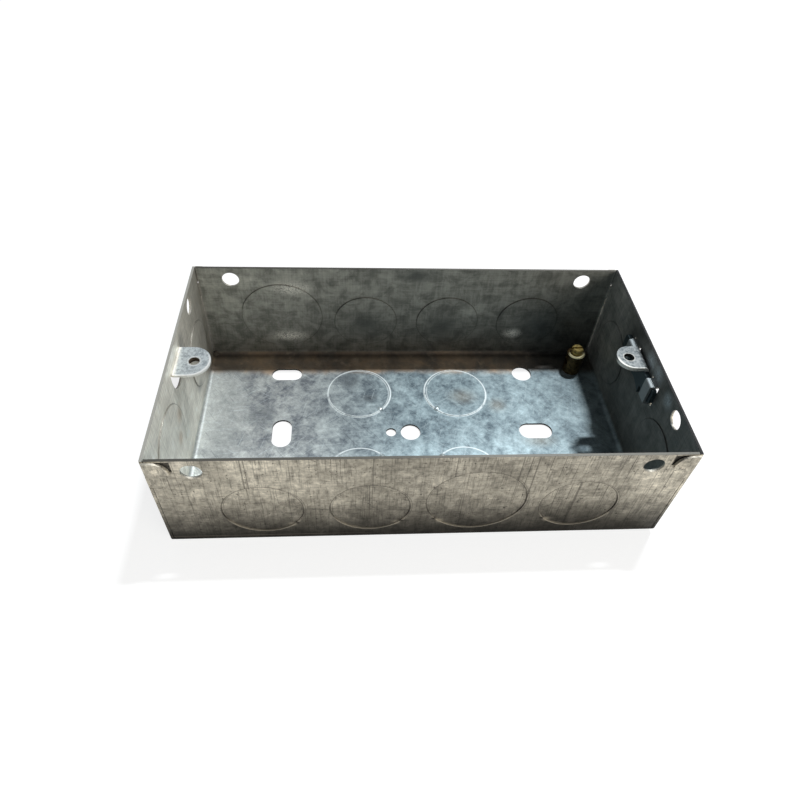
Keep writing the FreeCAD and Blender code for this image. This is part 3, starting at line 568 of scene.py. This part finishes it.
def thread(centre, low, high, radius, pitch, depth):
    """Computes a thread ridge as a spiral of three-cornered sections.

    At angle t the section stands at height low + pitch t / (2 pi); its crest is one depth, faded to
    a tenth at both ends, inside the radius and its two feet lie 0.02 outside it.
    """
    turns = (high - low) / pitch
    t = np.linspace(0.0, 2.0 * np.pi * turns, int(turns * 40) + 1)
    fade = np.clip(np.minimum(t, t[-1] - t) / 1.2, 0.1, 1.0)
    rows = []
    for off, rise in ((-depth, 0.0), (0.02, 0.3), (0.02, -0.3)):
        r = radius + off * fade
        rows.append(np.stack([centre[0] + r * np.cos(t), centre[1] + r * np.sin(t),
                              low + pitch * t / (2.0 * np.pi) + rise * pitch * fade], axis=-1))
    return np.stack(rows, axis=1)


def add_details():
    """Adds the knockouts' base pips, the lugs' threads and dark lumps in the corners."""
    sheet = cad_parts["box_shell"].data.materials[0]
    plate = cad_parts["adjustable_lug"].data.materials[0]
    corners = [(u, v) for u in (-1, 1) for v in (-1, 1)]
    across, along, _ = BASE_RING
    pips = [ball((u * (across - 6.6), v * (along - 6.9), 0.60), (1.05, 1.05, 0.62), start=-4.0)
            for u, v in corners]
    add_grid("base_pips", ball_faces, pip_zinc(), "box", pips)
    lumps = [ball((u * 64.4, v * 34.4, 1.15), (1.0, 0.95, 0.9), 0.08, phase=u + 2.0 * v)
             for u, v in corners]
    add_grid("corner_lumps", ball_faces, corner_lump_look(), "box", lumps)
    pitch = 0.6
    depth = 0.15
    fixed = thread(FIXED_BORE, LUG_TOP - 1.4, LUG_TOP, BORE_RADIUS, pitch, depth)
    add_grid("fixed_lug_thread", ball_faces, sheet, "box", [fixed])
    sliding = thread(SLIDING_BORE, LUG_TOP - 1.1, LUG_TOP - 0.1, BORE_RADIUS, pitch, depth)
    add_grid("sliding_lug_thread", ball_faces, plate, "sliding_lug", [sliding])


def pip_zinc():
    """Makes the bright rubbed zinc on the pips."""
    f = Finish("pip_zinc")
    cloud = f.noise(0.7, 3.0, 0.6)
    colour = f.mix(cloud, (0.45, 0.56, 0.60), (0.86, 0.95, 0.96))
    return f.surface(colour, 0.6, 0.35, f.bump(cloud, 0.02))


def wear(node, material):
    """Gives a frame node its finish."""
    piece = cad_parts[node]
    piece.data.materials.clear()
    piece.data.materials.append(material)


def add_floor():
    """Lays a wide plain floor just under the base."""
    reach = 6.0
    drop = 0.00005
    corners = ((-1, -1), (1, -1), (1, 1), (-1, 1))
    mesh = bpy.data.meshes.new("floor")
    mesh.from_pydata([(u * reach, v * reach, -drop) for u, v in corners], [], [(0, 1, 2, 3)])
    floor = bpy.data.objects.new("floor", mesh)
    bpy.context.scene.collection.objects.link(floor)
    floor.data.materials.append(pale_floor())


def add_lamp(name, towards, away, sides, power, colour):
    """Hangs a rectangular lamp that faces the box, its long side level along X."""
    out = Vector(towards).normalized()
    along = Vector((1.0, 0.0, 0.0)) - out * out.x
    along.normalize()
    lamp = bpy.data.lights.new(name, "AREA")
    lamp.shape = "RECTANGLE"
    lamp.size, lamp.size_y = sides
    lamp.energy = power
    lamp.color = colour
    made = bpy.data.objects.new(name, lamp)
    turn = Matrix((along, out.cross(along), out)).transposed().to_4x4()
    made.matrix_world = Matrix.Translation(out * away) @ turn
    bpy.context.scene.collection.objects.link(made)


def add_lights():
    """Hangs a high strip lamp and a warm broad one in front, under a dim even sky."""
    add_lamp("key", (0.250, 0.250, 0.935), 1.12, (0.11, 0.04), 8.2, (0.94, 0.97, 1.0))
    add_lamp("front", (0.62, -0.72, 0.31), 1.2, (0.9, 0.5), 9.0, (1.0, 0.95, 0.86))
    world = bpy.data.worlds.new("studio")
    world.use_nodes = True
    tree = world.node_tree
    sky = tree.nodes["Background"]
    sky.inputs["Color"].default_value = (0.90, 0.95, 1.0, 1.0)
    path = tree.nodes.new("ShaderNodeLightPath")
    level = tree.nodes.new("ShaderNodeMapRange")
    tree.links.new(path.outputs["Is Camera Ray"], level.inputs["Value"])
    level.inputs["To Min"].default_value = 0.22
    level.inputs["To Max"].default_value = 1.05
    tree.links.new(level.outputs["Result"], sky.inputs["Strength"])
    bpy.context.scene.world = world


def add_camera():
    """Stands the camera above and in front of the box, a little to its left."""
    right = Vector((0.99740743, -0.05223560, 0.04949607))
    down = Vector((-0.00508507, -0.73725738, -0.67559285))
    ahead = Vector((0.07178134, 0.67358964, -0.73561161))
    eye = Vector((-17.60020942, -121.70637038, 154.79989610)) * MM
    view = bpy.data.cameras.new("camera")
    view.sensor_width = 36.0
    view.lens = 629.7365 * 36.0 / 800.0
    view.shift_x = (400.0 - 399.137) / 800.0
    view.shift_y = (386.151 - 400.0) / 800.0
    view.clip_start = 0.01
    camera = bpy.data.objects.new("camera", view)
    turn = Matrix((right, -down, -ahead)).transposed().to_4x4()
    camera.matrix_world = Matrix.Translation(eye) @ turn
    bpy.context.scene.collection.objects.link(camera)
    bpy.context.scene.camera = camera


wear("box_shell", galvanised_sheet())
wear("adjustable_lug", zinc_plate())
# The post's brass is made darker than the screw's as painted shade.
wear("earth_post", turned_brass("brass_post", (0.045, 0.03, 0.012), (0.15, 0.10, 0.035), 8.3))
wear("earth_screw", turned_brass("brass_screw", (0.15, 0.11, 0.035), (0.48, 0.37, 0.13), 20.0))
add_details()
add_floor()
add_lights()
add_camera()
bpy.context.scene.view_settings.view_transform = "Standard"
